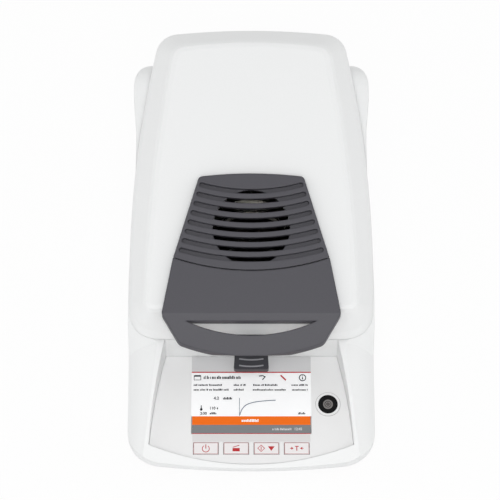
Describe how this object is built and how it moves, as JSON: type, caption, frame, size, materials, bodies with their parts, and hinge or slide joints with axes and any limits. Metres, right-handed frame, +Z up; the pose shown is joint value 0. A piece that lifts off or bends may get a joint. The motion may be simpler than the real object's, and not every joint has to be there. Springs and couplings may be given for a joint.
{
  "type": "moisture analyzer",
  "caption": "Bench moisture analyzer: hinged lid with a ring lamp over a weighing pan, a sloping terminal with a colour display and keys, a level and levelling feet.",
  "frame": {"origin": "centre of the footprint, on the surface the instrument stands on", "axes": "+X to the user's right, +Y from the terminal towards the lid's hinge, +Z up"},
  "size_m": [0.206, 0.3456, 0.1802],
  "materials": {
    "white_housing": "fine satin texture",
    "charcoal_cover": "fine matt texture",
    "handler_grey": "matt",
    "overlay_film": "satin film",
    "display_glass": "clear, faint anti-glare",
    "display_image": "lit colour screen",
    "key_cap": "satin film over a cap",
    "circuit_board": "green solder mask",
    "level_white": "smooth",
    "level_black": "smooth",
    "vial_glass": "clear",
    "stainless_sheet": "brushed",
    "pan_aluminium": "bright pressed foil",
    "cell_aluminium": "machined",
    "steel_parts": "turned",
    "brass_bush": "turned",
    "mirror_metal": "polished",
    "heat_glass": "clear, heat resistant",
    "lamp_glass": "clear quartz",
    "ceramic": "unglazed ceramic",
    "magnet_plate": "nickel plated",
    "foot_red": "knurled, matt",
    "foot_rubber": "matt",
    "black_plastic": "moulded, matt"
  },
  "bodies": {
    "base": {"upper_housing": "white_housing", "bottom_tray": "white_housing", "rear_feet": "foot_rubber", "overlay_panel": "overlay_film", "display_glass": "display_glass", "display_module": "display_image", "key_board": "circuit_board", "level_ring": "level_white", "level_cup": "level_black", "level_vial": "vial_glass", "chamber_dish": "stainless_sheet", "draft_shield": "stainless_sheet", "weigh_cell": "cell_aluminium", "cell_bracket": "cell_aluminium", "main_board": "circuit_board", "power_supply": "circuit_board", "board_screws": "steel_parts", "fan_frame": "black_plastic", "connector_plate": "stainless_sheet", "mains_inlet": "black_plastic", "serial_port": "black_plastic", "usb_device_port": "black_plastic", "usb_host_port": "black_plastic", "hinge_pin_left": "steel_parts", "hinge_pin_right": "steel_parts", "housing_screws": "steel_parts", "lid_buffers": "foot_rubber", "lid_switch": "black_plastic"},
    "lid": {"lid_shell": "white_housing", "hinge_bush_left": "brass_bush", "hinge_bush_right": "brass_bush", "heater_box": "stainless_sheet", "heat_glass": "heat_glass", "glass_ring": "stainless_sheet", "reflector": "mirror_metal", "ring_lamp": "lamp_glass", "temperature_sensor": "steel_parts", "louvre_grille": "charcoal_cover", "handle_cover": "charcoal_cover", "cover_screws": "steel_parts", "lamp_holders": "ceramic", "lid_magnet": "magnet_plate"},
    "key_power_body": {"key_power": "key_cap"},
    "key_method_body": {"key_method": "key_cap"},
    "key_start_body": {"key_start": "key_cap"},
    "key_tare_body": {"key_tare": "key_cap"},
    "handler": {"pan_handler": "handler_grey", "sample_pan": "pan_aluminium"},
    "weigh_platform": {"pan_support": "steel_parts", "weigh_post": "steel_parts"},
    "fan": {"fan_rotor": "black_plastic"},
    "foot_left": {"foot_pad_left": "foot_rubber"},
    "foot_wheel_left_body": {"foot_wheel_left": "foot_red"},
    "foot_right": {"foot_pad_right": "foot_rubber"},
    "foot_wheel_right_body": {"foot_wheel_right": "foot_red"}
  },
  "joints": [
    {"name": "lid_hinge", "type": "hinge", "parent": "base", "child": "lid", "pos_m": [0, 0.14124, 0.118], "axis": [-1, 0, 0], "range_deg": [0, 90]},
    {"name": "press_power", "type": "slide", "parent": "base", "child": "key_power_body", "axis": [0, 0.1702, -0.9854], "range_m": [0, 0.0005], "stiffness_N_per_m": 1000},
    {"name": "press_method", "type": "slide", "parent": "base", "child": "key_method_body", "axis": [0, 0.1702, -0.9854], "range_m": [0, 0.0005], "stiffness_N_per_m": 1000},
    {"name": "press_start", "type": "slide", "parent": "base", "child": "key_start_body", "axis": [0, 0.1702, -0.9854], "range_m": [0, 0.0005], "stiffness_N_per_m": 1000},
    {"name": "press_tare", "type": "slide", "parent": "base", "child": "key_tare_body", "axis": [0, 0.1702, -0.9854], "range_m": [0, 0.0005], "stiffness_N_per_m": 1000},
    {"name": "handler_lift", "type": "slide", "parent": "base", "child": "handler", "axis": [0, 0, 1], "range_m": [0, 0.004]},
    {"name": "weigh_deflection", "type": "slide", "parent": "base", "child": "weigh_platform", "axis": [0, 0, 1], "range_m": [-0.0004, 0], "stiffness_N_per_m": 5000},
    {"name": "fan_spin", "type": "hinge", "parent": "base", "child": "fan", "pos_m": [-0.042, 0.15724, 0.036], "axis": [0, 1, 0], "continuous": true},
    {"name": "foot_height_left", "type": "slide", "parent": "base", "child": "foot_left", "axis": [0, 0, 1], "range_m": [-0.003, 0.003]},
    {"name": "foot_turn_left", "type": "hinge", "parent": "foot_left", "child": "foot_wheel_left_body", "pos_m": [-0.076, -0.14676, 0.004], "axis": [0, 0, 1], "range_deg": [-720, 720]},
    {"name": "foot_height_right", "type": "slide", "parent": "base", "child": "foot_right", "axis": [0, 0, 1], "range_m": [-0.003, 0.003]},
    {"name": "foot_turn_right", "type": "hinge", "parent": "foot_right", "child": "foot_wheel_right_body", "pos_m": [0.076, -0.14676, 0.004], "axis": [0, 0, 1], "range_deg": [-720, 720]}
  ],
  "couplings": [
    {"joint": "foot_turn_left", "follows": "foot_height_left", "rad_per_m": 4187.8},
    {"joint": "foot_turn_right", "follows": "foot_height_right", "rad_per_m": 4187.8}
  ]
}
